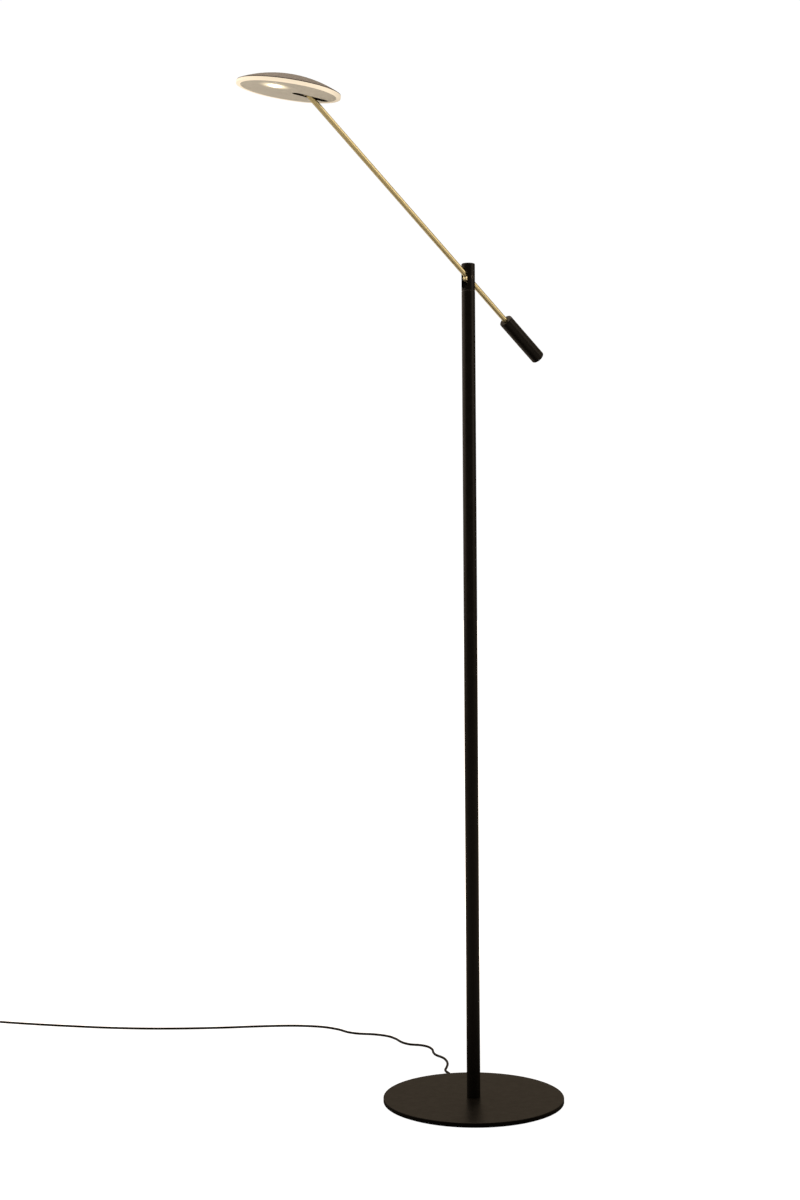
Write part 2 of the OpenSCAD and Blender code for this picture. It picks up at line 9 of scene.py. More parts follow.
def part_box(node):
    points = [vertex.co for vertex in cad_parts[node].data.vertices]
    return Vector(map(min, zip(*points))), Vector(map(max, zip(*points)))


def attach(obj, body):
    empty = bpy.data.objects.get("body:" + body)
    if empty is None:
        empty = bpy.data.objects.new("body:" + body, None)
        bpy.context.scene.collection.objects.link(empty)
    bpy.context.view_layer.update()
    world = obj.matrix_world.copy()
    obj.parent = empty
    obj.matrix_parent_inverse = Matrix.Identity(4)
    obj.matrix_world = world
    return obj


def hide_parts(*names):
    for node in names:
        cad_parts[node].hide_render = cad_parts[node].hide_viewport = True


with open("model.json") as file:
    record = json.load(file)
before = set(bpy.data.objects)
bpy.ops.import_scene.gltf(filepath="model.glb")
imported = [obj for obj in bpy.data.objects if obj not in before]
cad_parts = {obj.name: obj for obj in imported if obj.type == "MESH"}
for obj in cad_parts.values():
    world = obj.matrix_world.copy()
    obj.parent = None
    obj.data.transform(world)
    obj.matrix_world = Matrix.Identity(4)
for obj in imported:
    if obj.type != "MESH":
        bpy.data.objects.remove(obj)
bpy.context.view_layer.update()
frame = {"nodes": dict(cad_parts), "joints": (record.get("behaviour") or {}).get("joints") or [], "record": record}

MM = 0.001
SCENE = bpy.context.scene

# ---------------------------------------------------------------- sizes, in millimetres
# They repeat the driving sizes of the CAD part; places come from the frame.
POLE_R = 10.5
POLE_WALL = 1.5
HEAD_LEN = 42.0
HEAD_ROUND = 1.5
SLOT_W = 13.0
SLOT_LOW = 2.0
SLOT_HIGH = 34.5
ROD_R = 4.0
ROD_BORE_R = 3.0
WEIGHT_GAP = 99.0
WEIGHT_LEN = 90.0
WEIGHT_R = 11.0
WEIGHT_ROUND = 1.8
ROD_IN_WEIGHT = 58.0
BARREL_R = 6.5
BARREL_HALF = 6.0
DOG_R = 1.7
PIVOT_SCREW_R = 3.0
DISC_R = 75.0
RING_T = 4.5
RING_INNER_R = 66.2
PLATE_R = 69.0
PLATE_T = 1.5
DOME_R = 74.6
DOME_H = 17.0
DOME_LIP = 1.0
DOME_WALL = 1.2
TROUGH_X = (15.0, 57.5)
TROUGH_R = 6.0
TROUGH_WALL = 1.5
SPOT_AT = (-32.0, -17.0)
SPOT_R = 10.0
SPOT_BULGE = 0.9
CORD_D = 4.0
RELIEF_NECK_R = 2.2
ADAPTER_SIZE = (66.0, 40.0, 28.0)
GLAND_LEN = 14.0
GLAND_Z = 5.0

# ---------------------------------------------------------------- camera
CAMERA_TURN = math.radians(-41.0)
TO_CAMERA = Vector((math.sin(CAMERA_TURN), -math.cos(CAMERA_TURN), 0))
CAMERA_RIGHT = Vector((math.cos(CAMERA_TURN), math.sin(CAMERA_TURN), 0))
CAMERA_DISTANCE = 2.7342
CAMERA_SIDESTEP = -0.10916
CAMERA_HEIGHT = 0.77884
CAMERA_ROLL = -0.38
LENS_MM = 52.86
SENSOR_MM = 36.0


def add_camera():
    """Level camera a little left of the pole, with a slight roll."""
    place = TO_CAMERA * CAMERA_DISTANCE + CAMERA_RIGHT * CAMERA_SIDESTEP
    place.z = CAMERA_HEIGHT
    aim = Matrix.Rotation(CAMERA_TURN, 4, "Z") @ Matrix.Rotation(math.pi / 2, 4, "X")
    roll = Matrix.Rotation(math.radians(CAMERA_ROLL), 4, "Z")
    data = bpy.data.cameras.new("camera")
    data.lens = LENS_MM
    data.sensor_width = SENSOR_MM
    camera = bpy.data.objects.new("camera", data)
    camera.matrix_world = Matrix.Translation(place) @ aim @ roll
    SCENE.collection.objects.link(camera)
    SCENE.camera = camera


# ---------------------------------------------------------------- frames of the moving parts
JOINTS = {joint["name"]: joint for joint in frame["joints"]}


def frame_matrix(origin, x_axis, y_axis):
    """Matrix of a frame from its origin and its X and Y axes."""
    z_axis = x_axis.cross(y_axis)
    turn = Matrix((x_axis, y_axis, z_axis)).transposed().to_4x4()
    return Matrix.Translation(origin) @ turn


def plate_normal():
    """Upward normal of the grey plate, read from its largest face."""
    faces = frame["nodes"]["under_plate"].data.polygons
    normal = max(faces, key=lambda face: face.area).normal.copy()
    return normal if normal.z > 0 else -normal


PIVOT = Vector(JOINTS["arm_tilt"]["pos_m"])
ROD_AXIS = Vector(JOINTS["rod_turn"]["axis"]).normalized()
HINGE_AXIS = -Vector(JOINTS["disc_tilt"]["axis"]).normalized()
AT_PIVOT = frame_matrix(PIVOT, ROD_AXIS, Vector((0, 1, 0)))
AT_ROD = frame_matrix(PIVOT, ROD_AXIS, HINGE_AXIS)
ARM_REACH = (Vector(JOINTS["disc_tilt"]["pos_m"]) - PIVOT).length / MM
DISC_UP = plate_normal()
plate_low, plate_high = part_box("under_plate")
DISC_ORIGIN = (plate_low + plate_high) / 2 - DISC_UP * (PLATE_T / 2 * MM)
AT_DISC = frame_matrix(DISC_ORIGIN, HINGE_AXIS.cross(DISC_UP).normalized(), HINGE_AXIS)
plate_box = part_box("base_plate")
BASE_R = (plate_box[1].x - plate_box[0].x) / 2 / MM
PAD_T = plate_box[0].z / MM
PLATE_TOP = plate_box[1].z / MM
POLE_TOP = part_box("pole_tube")[1].z / MM
HEAD_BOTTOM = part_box("swivel_washer")[1].z / MM
PIVOT_Z = PIVOT.z / MM

# ---------------------------------------------------------------- route of the free lead
# The points of the CAD part's route, in metres; the coil's turns follow from a loop.
RELIEF_END = 0.160
EXIT_ANGLE = math.radians(62)
EXIT_DIR = Vector((math.cos(EXIT_ANGLE), math.sin(EXIT_ANGLE), 0))
EXIT_Z = 0.0032
EXIT = (RELIEF_END * EXIT_DIR.x, RELIEF_END * EXIT_DIR.y, EXIT_Z)
ROUTE = [
    EXIT, (0.080, 0.151, 0.0026), (0.088, 0.161, 0.002), (0.100, 0.171, 0.002),
    (0.114, 0.184, 0.002), (0.127, 0.201, 0.002), (0.136, 0.220, 0.002), (0.139, 0.240, 0.002),
    (0.147, 0.256, 0.002), (0.159, 0.272, 0.002), (0.166, 0.290, 0.002), (0.164, 0.308, 0.002),
    (0.154, 0.324, 0.002), (0.153, 0.345, 0.002), (0.161, 0.371, 0.002), (0.163, 0.396, 0.002),
    (0.153, 0.422, 0.002), (0.137, 0.443, 0.002), (0.129, 0.466, 0.002), (0.129, 0.494, 0.002),
    (0.118, 0.530, 0.002), (0.086, 0.570, 0.002), (0.038, 0.608, 0.002), (-0.014, 0.643, 0.002),
    (-0.068, 0.684, 0.002), (-0.121, 0.731, 0.002), (-0.170, 0.784, 0.002),
    (-0.215, 0.842, 0.002), (-0.256, 0.899, 0.002), (-0.291, 0.952, 0.002),
]
COIL_AT = Vector((-0.350, 1.000, 0))
COIL_R = 0.026
COIL_IN = 30
COIL_OUT = 152
COIL_TURNS = 5
POINTS_A_TURN = 16
# Degrees through which the lead moves to a smaller turn, to a wider one, or up a layer.
COIL_INWARD = ((270, 390), (630, 750))
COIL_OUTWARD = ((1110, 1230), (1470, 1590))
COIL_UP = (870, 990)
LEAD_IN = 0.020
TAIL_LEN = 0.034
TAIL_SHARES = (0.33, 0.67, 1.0, 1.3)
CORD_INSIDE = 0.006


def smooth_step(start, end, value):
    """0 before start and 1 after end, with an even ease between them."""
    share = min(1.0, max(0.0, (value - start) / (end - start)))
    return share * share * (3 - 2 * share)


def coil_point(angle):
    """Centre of the lead in the coil, at an angle in degrees counted on through the turns."""
    lay = CORD_D * MM
    inward = sum(smooth_step(*span, angle) for span in COIL_INWARD)
    outward = sum(smooth_step(*span, angle) for span in COIL_OUTWARD)
    radius = COIL_R - lay * (inward - outward)
    height = lay / 2 + lay * smooth_step(*COIL_UP, angle)
    turn = math.radians(angle)
    return COIL_AT + Vector((radius * math.cos(turn), radius * math.sin(turn), height))


def cord_points():
    """The whole centreline: from inside the relief, over the floor and through the coil, to the
    last point, which lies inside the adapter's gland.
    """
    points = [Vector(EXIT) - EXIT_DIR * CORD_INSIDE]
    points += [Vector(point) for point in ROUTE]
    first = coil_point(COIL_IN)
    turn = math.radians(COIL_IN)
    points.append(first + LEAD_IN * Vector((math.sin(turn), -math.cos(turn), 0)))
    last_angle = COIL_OUT + 360 * COIL_TURNS
    steps = COIL_TURNS * POINTS_A_TURN
    for step in range(steps + 1):
        points.append(coil_point(COIL_IN + (last_angle - COIL_IN) * step / steps))
    start = points[-1]
    for share in TAIL_SHARES:
        drop = (GLAND_Z * MM - start.z) * min(share, 1.0)
        points.append(start + TAIL_DIR * TAIL_LEN * share + Vector((0, 0, drop)))
    return points


OUT_TURN = math.radians(COIL_OUT)
TAIL_DIR = Vector((-math.sin(OUT_TURN), math.cos(OUT_TURN), 0))
TAIL_START = COIL_AT + COIL_R * Vector((math.cos(OUT_TURN), math.sin(OUT_TURN), 0))
AT_ADAPTER = frame_matrix(
    TAIL_START + TAIL_DIR * TAIL_LEN, TAIL_DIR, Vector((-TAIL_DIR.y, TAIL_DIR.x, 0))
)
AT_EXIT = Matrix.Rotation(EXIT_ANGLE, 4, "Z")
CORD_SIDES = 16
CORD_STEPS = 4


def smooth_path(points, steps):
    """Points along the smooth curve through the given ones, the CAD part's own curve."""
    path = []
    for i in range(len(points) - 1):
        a = points[max(i - 1, 0)]
        b, c = points[i], points[i + 1]
        d = points[min(i + 2, len(points) - 1)]
        for k in range(steps):
            s = k / steps
            bend = 2 * b + (c - a) * s + (2 * a - 5 * b + 4 * c - d) * s ** 2
            path.append(0.5 * (bend + (3 * b - 3 * c + d - a) * s ** 3))
    return path + [points[-1]]


def full_turn(count):
    """Angles of count even steps round a circle."""
    return [2 * math.pi * k / count for k in range(count)]


def skin(rings, closed=False, capped=False):
    """Mesh through rings of points, in order; a ring of one point is a tip.

    closed joins the last ring to the first, and capped fills the first and the last ring.
    """
    work = bmesh.new()
    loops = [[work.verts.new(point) for point in ring] for ring in rings]
    pairs = list(zip(loops, loops[1:]))
    if closed:
        pairs.append((loops[-1], loops[0]))
    for low, high in pairs:
        for k in range(max(len(low), len(high))):
            corners = [low[k % len(low)], low[(k + 1) % len(low)]]
            corners += [high[(k + 1) % len(high)], high[k % len(high)]]
            unique = list(dict.fromkeys(corners))
            if len(unique) > 2:
                work.faces.new(unique)
    if capped:
        work.faces.new(loops[0])
        work.faces.new(loops[-1])
    bmesh.ops.recalc_face_normals(work, faces=work.faces)
    mesh = bpy.data.meshes.new("skin")
    work.to_mesh(mesh)
    work.free()
    return mesh


def swept_tube(path, radius, sides):
    """Mesh of a round tube with closed ends along a path that is nowhere upright."""
    rings = []
    for i, centre in enumerate(path):
        along = (path[min(i + 1, len(path) - 1)] - path[max(i - 1, 0)]).normalized()
        side = along.cross(Vector((0, 0, 1))).normalized()
        over = side.cross(along)
        rings.append([
            centre + radius * (side * math.cos(t) + over * math.sin(t)) for t in full_turn(sides)
        ])
    return skin(rings, capped=True)


def add_cord(path):
    """The free lead as a round tube along its path."""
    mesh = swept_tube(path, CORD_D / 2 * MM, CORD_SIDES)
    mesh.shade_smooth()
    piece = bpy.data.objects.new("cord", mesh)
    SCENE.collection.objects.link(piece)
    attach(piece, "base")
    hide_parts("cord_lead", "cord_coil", "cord_tail")
    return piece


add_camera()
cord_path = smooth_path(cord_points(), CORD_STEPS)
cord = add_cord(cord_path)


# ---------------------------------------------------------------- materials
NOISE_ROUGHNESS = 0.55
WEAR_POINTINESS = (0.53, 0.6)
WEAR_NOISE = (0.42, 0.62)
WEAR_PATCH = 0.004
GRAIN_ROUGHNESS = 0.03
LACQUER_ROUGHNESS = 0.25


def add(tree, kind, inputs=None, **settings):
    """One shader node; inputs maps a socket to a value or to an output that is linked to it."""
    node = tree.nodes.new(kind)
    for key, value in settings.items():
        setattr(node, key, value)
    for key, value in (inputs or {}).items():
        if isinstance(value, bpy.types.NodeSocket):
            tree.links.new(value, node.inputs[key])
        else:
            node.inputs[key].default_value = value
    return node


def position(tree):
    """The point on the surface in the frame's metres, fixed to the piece."""
    return add(tree, "ShaderNodeTexCoord").outputs["Object"]


def along_axis(tree, point, axis, factor):
    """The point with its distance along an axis multiplied, which draws a pattern out or packs it."""
    dot = add(tree, "ShaderNodeVectorMath", {0: point, 1: axis}, operation="DOT_PRODUCT")
    change = add(
        tree, "ShaderNodeMath", {0: dot.outputs["Value"], 1: factor - 1}, operation="MULTIPLY"
    )
    shift = add(tree, "ShaderNodeVectorMath", {0: axis}, operation="SCALE")
    tree.links.new(change.outputs[0], shift.inputs["Scale"])
    return add(tree, "ShaderNodeVectorMath", {0: point, 1: shift.outputs[0]}).outputs[0]


def noise_at(tree, point, size, detail=3.0):
    """Noise whose features are about size metres across."""
    return add(
        tree,
        "ShaderNodeTexNoise",
        {"Vector": point, "Scale": 1 / size, "Detail": detail, "Roughness": NOISE_ROUGHNESS},
    ).outputs["Fac"]


def spread(tree, value, low, high, start=0.3, end=0.7):
    """A value from start to end mapped to low to high."""
    return add(
        tree,
        "ShaderNodeMapRange",
        {"Value": value, "From Min": start, "From Max": end, "To Min": low, "To Max": high},
    ).outputs[0]


def blend_colours(tree, factor, first, second):
    """Mix of two colours; each is a colour or a linked output."""
    mix = add(tree, "ShaderNodeMix", {0: factor}, data_type="RGBA")
    for socket, colour in ((mix.inputs[6], first), (mix.inputs[7], second)):
        if isinstance(colour, bpy.types.NodeSocket):
            tree.links.new(colour, socket)
        else:
            socket.default_value = (*colour, 1)
    return mix.outputs[2]


def product(tree, first, second):
    """Product of two values."""
    return add(tree, "ShaderNodeMath", {0: first, 1: second}, operation="MULTIPLY").outputs[0]


def edge_wear(tree, point):
    """1 on rubbed outer edges, broken up by noise."""
    sharp = add(tree, "ShaderNodeNewGeometry").outputs["Pointiness"]
    edge = spread(tree, sharp, 0, 1, *WEAR_POINTINESS)
    return product(tree, edge, spread(tree, noise_at(tree, point, WEAR_PATCH), 0, 1, *WEAR_NOISE))


def finish(name, dark, light, rough, grain, depth, mottle, metal=0.0, specular=0.5, coat=0.0,
           worn=None, draw=None):
    """A surface with mottled colour and roughness, fine grain as bump, and rubbed edges.

    dark and light bound the colour, rough is its lowest and highest roughness, grain the size of
    the bumps and depth their height, mottle the size of the colour patches, coat the weight of a
    satin lacquer, worn the colour of rubbed edges, and draw an axis and the factor by which the
    grain is packed along it, less than 1 to draw it out.
    """
    material = bpy.data.materials.new(name)
    material.use_nodes = True
    tree = material.node_tree
    shader = tree.nodes["Principled BSDF"]
    point = position(tree)
    fine = along_axis(tree, point, *draw) if draw else point
    patches = noise_at(tree, point, mottle)
    grains = noise_at(tree, fine, grain, 2.0)
    colour = blend_colours(tree, spread(tree, patches, 0, 1), dark, light)
    if worn:
        colour = blend_colours(tree, edge_wear(tree, point), colour, worn)
    tree.links.new(colour, shader.inputs["Base Color"])
    roughness = add(
        tree,
        "ShaderNodeMath",
        {
            0: spread(tree, patches, *rough),
            1: spread(tree, grains, -GRAIN_ROUGHNESS, GRAIN_ROUGHNESS),
        },
    )
    tree.links.new(roughness.outputs[0], shader.inputs["Roughness"])
    bump = add(tree, "ShaderNodeBump", {"Strength": 1.0, "Distance": depth, "Height": grains})
    tree.links.new(bump.outputs[0], shader.inputs["Normal"])
    shader.inputs["Metallic"].default_value = metal
    shader.inputs["Specular IOR Level"].default_value = specular
    shader.inputs["Coat Weight"].default_value = coat
    shader.inputs["Coat Roughness"].default_value = LACQUER_ROUGHNESS
    return material


def glow(material, colour, strength):
    """Adds light to a material: strength is a value or a linked output."""
    shader = material.node_tree.nodes["Principled BSDF"]
    shader.inputs["Emission Color"].default_value = (*colour, 1)
    if isinstance(strength, bpy.types.NodeSocket):
        material.node_tree.links.new(strength, shader.inputs["Emission Strength"])
    else:
        shader.inputs["Emission Strength"].default_value = strength


def distance_to(tree, place):
    """Distance of the surface point from a place in the frame, in metres."""
    node = add(
        tree, "ShaderNodeVectorMath", {0: position(tree), 1: place}, operation="DISTANCE"
    )
    return node.outputs["Value"]


WARM_LIGHT = (1.0, 0.86, 0.66)
# Colour of the painted halo: light painted on the grey plate round the lens.
PAINTED_HALO_LIGHT = (1.0, 0.85, 0.55)
RING_LIGHT = (1.0, 0.85, 0.64)
LENS_LIGHT = (1.0, 0.93, 0.8)
RING_STRENGTH = (0.86, 0.54)
RING_DIMS_OVER = (0.025, 0.0745)
# Reach, fall-off and strength of the painted halo, the glow painted on the grey plate round the lens in place of
# the lens's light and its bloom.
PAINTED_HALO_REACH = 0.027
PAINTED_HALO_FALL = 2.5
PAINTED_HALO_STRENGTH = 1.2
LENS_STRENGTH = (6.0, 1.1)
LENS_CORE = (0.006, 0.0105)
STRIP_STRENGTH = 2.0
LENS_AT = AT_DISC @ Vector((SPOT_AT[0] * MM, SPOT_AT[1] * MM, 0))
DISC_X = AT_DISC.to_3x3() @ Vector((1, 0, 0))


def make_black_paint():
    """Warm black textured powder coat."""
    return finish(
        "black_paint", (0.0016, 0.0013, 0.0010), (0.0028, 0.0023, 0.0018), (0.32, 0.40),
        grain=0.0009, depth=0.00002, mottle=0.012, specular=0.13, worn=(0.03, 0.024, 0.019),
    )


def make_brass(name, axis, factor):
    """Satin lacquered brass, brushed along or turned round an axis."""
    return finish(
        name, (0.505, 0.462, 0.255), (0.535, 0.487, 0.275), (0.33, 0.36),
        grain=0.0004, depth=0.000001, mottle=0.06, metal=1.0, coat=0.8,
        worn=(0.67, 0.62, 0.42), draw=(axis, factor),
    )


def make_ring():
    """Frosted acrylic, lit from inside, and dimmer on the slot's side."""
    material = finish(
        "ring_acrylic", (0.16, 0.14, 0.12), (0.19, 0.17, 0.14), (0.35, 0.45),
        grain=0.0006, depth=0.000001, mottle=0.01,
    )
    tree = material.node_tree
    centre = AT_DISC.translation
    offset = add(
        tree, "ShaderNodeVectorMath", {0: position(tree), 1: centre}, operation="SUBTRACT"
    )
    side = add(
        tree, "ShaderNodeVectorMath", {0: offset.outputs[0], 1: DISC_X}, operation="DOT_PRODUCT"
    )
    strength = spread(tree, side.outputs["Value"], *RING_STRENGTH, *RING_DIMS_OVER)
    glow(material, RING_LIGHT, strength)
    return material


def make_grey_paint():
    """Matte warm grey paint with a painted glow round the lens: emission that stands in for the lens's light
    falling on the plate close to it.
    """
    material = finish(
        "grey_paint", (0.64, 0.68, 0.68), (0.68, 0.72, 0.72), (0.54, 0.6),
        grain=0.0008, depth=0.000002, mottle=0.012, specular=0.3,
    )
    tree = material.node_tree
    # Painted light: the plate glows near the lens, brightest at the lens's edge and fading outwards.
    near = spread(tree, distance_to(tree, LENS_AT), 1, 0, SPOT_R * MM, PAINTED_HALO_REACH)
    halo = add(tree, "ShaderNodeMath", {0: near, 1: PAINTED_HALO_FALL}, operation="POWER").outputs[0]
    glow(material, PAINTED_HALO_LIGHT, product(tree, halo, PAINTED_HALO_STRENGTH))
    return material


def make_lens():
    """Clear moulded lens over the light source, brightest in its middle."""
    material = finish(
        "lens", (0.9, 0.88, 0.82), (0.95, 0.93, 0.88), (0.12, 0.2),
        grain=0.0008, depth=0.00001, mottle=0.004,
    )
    tree = material.node_tree
    core = spread(tree, distance_to(tree, LENS_AT), *LENS_STRENGTH, *LENS_CORE)
    glow(material, LENS_LIGHT, core)
    return material


def make_materials():
    """One material for each slot of the record, and the barrel's own brass, by name."""
    made = {
        "black_paint": make_black_paint(),
        "black_screw": finish(
            "black_screw", (0.02, 0.018, 0.016), (0.035, 0.031, 0.028), (0.3, 0.42),
            grain=0.0005, depth=0.00001, mottle=0.003, metal=0.7, worn=(0.2, 0.19, 0.18),
        ),
        "foam": finish(
            "foam", (0.01, 0.01, 0.01), (0.02, 0.019, 0.018), (0.85, 0.95),
            grain=0.0007, depth=0.0002, mottle=0.01, specular=0.2,
        ),
        "zinc_steel": finish(
            "zinc_steel", (0.42, 0.42, 0.40), (0.58, 0.57, 0.53), (0.28, 0.42),
            grain=0.0004, depth=0.000008, mottle=0.004, metal=1.0, worn=(0.7, 0.7, 0.68),
        ),
        "black_plastic": finish(
            "black_plastic", (0.008, 0.008, 0.008), (0.014, 0.013, 0.012), (0.42, 0.55),
            grain=0.0004, depth=0.00003, mottle=0.01, specular=0.4, worn=(0.04, 0.04, 0.04),
        ),
        "cord_jacket": finish(
            "cord_jacket", (0.003, 0.0025, 0.002), (0.006, 0.005, 0.004), (0.48, 0.6),
            grain=0.0009, depth=0.000006, mottle=0.02, specular=0.15,
        ),
        "brass": make_brass("brass", ROD_AXIS, 0.03),
        "brass_turned": make_brass("brass_turned", Vector((0, 1, 0)), 12),
        "white_nylon": finish(
            "white_nylon", (0.6, 0.58, 0.52), (0.7, 0.68, 0.62), (0.4, 0.5),
            grain=0.0006, depth=0.00001, mottle=0.004,
        ),
        "dome_paint": finish(
            "dome_paint", (0.026, 0.022, 0.016), (0.032, 0.027, 0.020), (0.44, 0.47),
            grain=0.0009, depth=0.000003, mottle=0.04, specular=0.11, worn=(0.06, 0.05, 0.04),
        ),
        "ring_acrylic": make_ring(),
        "led_strip": finish(
            "led_strip", (0.7, 0.68, 0.6), (0.8, 0.78, 0.7), (0.4, 0.5),
            grain=0.001, depth=0.00002, mottle=0.008,
        ),
        "grey_paint": make_grey_paint(),
        "bare_aluminium": finish(
            "bare_aluminium", (0.52, 0.53, 0.54), (0.62, 0.63, 0.64), (0.28, 0.4),
            grain=0.0004, depth=0.000008, mottle=0.01, metal=1.0, draw=(DISC_X, 0.05),
        ),
        "cast_black": finish(
            "cast_black", (0.002, 0.0018, 0.0016), (0.004, 0.0035, 0.003), (0.55, 0.65),
            grain=0.0009, depth=0.00003, mottle=0.006, specular=0.15,
        ),
        "lens": make_lens(),
        "white_board": finish(
            "white_board", (0.62, 0.61, 0.55), (0.7, 0.69, 0.63), (0.35, 0.45),
            grain=0.0008, depth=0.00001, mottle=0.003,
        ),
        "green_board": finish(
            "green_board", (0.012, 0.07, 0.028), (0.03, 0.13, 0.055), (0.3, 0.42),
            grain=0.0007, depth=0.00003, mottle=0.0025,
        ),
        "blade_metal": finish(
            "blade_metal", (0.56, 0.52, 0.42), (0.68, 0.64, 0.53), (0.18, 0.3),
            grain=0.0005, depth=0.000006, mottle=0.005, metal=1.0, worn=(0.62, 0.5, 0.3),
        ),
    }
    glow(made["led_strip"], WARM_LIGHT, STRIP_STRENGTH)
    return made


MATERIALS = make_materials()


# ---------------------------------------------------------------- mesh helpers
SMOOTH_ANGLE = math.radians(32)
EASE_ANGLE = math.radians(35)
SUPPORT_REACH = 1.5
ON_AXIS = 1e-6
WELD = 0.001


def place_piece(name, mesh, matrix, material, body, nodes):
    """Makes the mesh a finished piece of the lamp: placed, shaded, riding and standing for nodes."""
    mesh.transform(Matrix.Diagonal((MM, MM, MM, 1)))
    mesh.transform(matrix)
    mesh.materials.clear()
    mesh.materials.append(MATERIALS[material])
    piece = bpy.data.objects.new(name, mesh)
    SCENE.collection.objects.link(piece)
    mesh.shade_smooth()
    mesh.set_sharp_from_angle(angle=SMOOTH_ANGLE)
    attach(piece, body)
    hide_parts(*nodes)
    return piece


def arc(centre_r, centre_z, radius, start, end, steps=6):
    """Points of an arc in a profile; angles in degrees from the outward direction."""
    turns = [math.radians(start + (end - start) * i / steps) for i in range(steps + 1)]
    return [(centre_r + radius * math.cos(t), centre_z + radius * math.sin(t)) for t in turns]


def supported(profile, closed):
    """The profile with a point just inside each end of its long lines, to keep wear at the edges."""
    points = []
    for start, end in zip(profile, profile[1:] + profile[:closed]):
        points.append(start)
        length = math.dist(start, end)
        if length > 4 * SUPPORT_REACH:
            for share in (SUPPORT_REACH / length, 1 - SUPPORT_REACH / length):
                points.append(tuple(a + (b - a) * share for a, b in zip(start, end)))
    return points if closed else [*points, profile[-1]]


def lathe(profile, segments=96, closed=False):
    """Mesh of a profile of (radius, height) points turned about Z, in millimetres."""
    rings = []
    for radius, height in supported(profile, closed):
        turns = full_turn(segments)
        ring = [(radius * math.cos(t), radius * math.sin(t), height) for t in turns]
        rings.append([(0, 0, height)] if radius < ON_AXIS else ring)
    return skin(rings, closed)


def drill_bit(radius, low, high, segments):
    """Plain round cutter about Z."""
    return lathe([(0, low), (radius, low), (radius, high), (0, high)], segments)


def tube(outer, inner, low, high, edge=0.3, segments=96):
    """Mesh of a round tube with eased ends."""
    profile = arc(outer - edge, high - edge, edge, 0, 90, 3)
    profile += arc(inner + edge, high - edge, edge, 90, 180, 3)
    profile += arc(inner + edge, low + edge, edge, 180, 270, 3)
    profile += arc(outer - edge, low + edge, edge, 270, 360, 3)
    return lathe(profile, segments, closed=True)


def turned(mesh, rotation, shift=(0, 0, 0)):
    """The mesh after a turn and a shift, in millimetres."""
    mesh.transform(Matrix.Translation(Vector(shift)) @ rotation)
    return mesh


Z_TO_X = Matrix.Rotation(math.pi / 2, 4, "Y")
Z_TO_Y = Matrix.Rotation(-math.pi / 2, 4, "X")


def outline_circle(x, y, radius, count=96):
    """Closed outline of a circle."""
    return [(x + radius * math.cos(t), y + radius * math.sin(t)) for t in full_turn(count)]


def outline_slot(x0, x1, radius, count=24):
    """Closed outline of a long hole with round ends."""
    points = []
    for centre, start in ((x1, -90), (x0, 90)):
        for k in range(count + 1):
            t = math.radians(start + 180 * k / count)
            points.append((centre + radius * math.cos(t), radius * math.sin(t)))
    return points


def outline_box(x0, y0, x1, y1, radius, count=8):
    """Closed outline of a rectangle with round corners."""
    points = []
    corners = ((x1, y1, 0), (x0, y1, 90), (x0, y0, 180), (x1, y0, 270))
    for x, y, start in corners:
        cx = x - radius if x == x1 else x + radius
        cy = y - radius if y == y1 else y + radius
        for k in range(count + 1):
            t = math.radians(start + 90 * k / count)
            points.append((cx + radius * math.cos(t), cy + radius * math.sin(t)))
    return points


def sheet_metal(outlines, low, high, edge, edge_steps=3):
    """Mesh of a flat plate with holes and eased edges; the first outline is the outer one."""
    curve = bpy.data.curves.new("plate", "CURVE")
    curve.dimensions = "2D"
    curve.fill_mode = "BOTH"
    curve.extrude = (high - low) / 2 - edge
    curve.bevel_depth = edge
    curve.bevel_resolution = edge_steps
    curve.offset = -edge
    for outline in outlines:
        spline = curve.splines.new("POLY")
        spline.points.add(len(outline) - 1)
        for knot, (x, y) in zip(spline.points, outline):
            knot.co = (x, y, 0, 1)
        spline.use_cyclic_u = True
    holder = bpy.data.objects.new("plate", curve)
    SCENE.collection.objects.link(holder)
    graph = bpy.context.evaluated_depsgraph_get()
    mesh = bpy.data.meshes.new_from_object(holder.evaluated_get(graph))
    bpy.data.objects.remove(holder)
    work = bmesh.new()
    work.from_mesh(mesh)
    bmesh.ops.remove_doubles(work, verts=work.verts, dist=WELD)
    bmesh.ops.recalc_face_normals(work, faces=work.faces)
    work.to_mesh(mesh)
    work.free()
    mesh.transform(Matrix.Translation((0, 0, (low + high) / 2)))
    return mesh


def joined(*meshes):
    """One mesh of several."""
    work = bmesh.new()
    for mesh in meshes:
        work.from_mesh(mesh)
    whole = bpy.data.meshes.new("joined")
    work.to_mesh(whole)
    work.free()
    return whole


def cut(mesh, *cutters, bevel=0.0):
    """The mesh less the cutters. bevel eases its sharp edges, but the clamp keeps the ease far
    smaller than asked where short edges meet, as they do along a cut.
    """
    piece = bpy.data.objects.new("work", mesh)
    SCENE.collection.objects.link(piece)
    tools = []
    for cutter in cutters:
        tool = bpy.data.objects.new("cutter", cutter)
        SCENE.collection.objects.link(tool)
        tools.append(tool)
        step = piece.modifiers.new("cut", "BOOLEAN")
        step.operation = "DIFFERENCE"
        step.solver = "EXACT"
        step.object = tool
    if bevel:
        ease = piece.modifiers.new("ease", "BEVEL")
        ease.width = bevel
        ease.segments = 3
        ease.limit_method = "ANGLE"
        ease.angle_limit = EASE_ANGLE
        ease.use_clamp_overlap = True
    graph = bpy.context.evaluated_depsgraph_get()
    result = bpy.data.meshes.new_from_object(piece.evaluated_get(graph))
    for item in (piece, *tools):
        bpy.data.objects.remove(item)
    return result


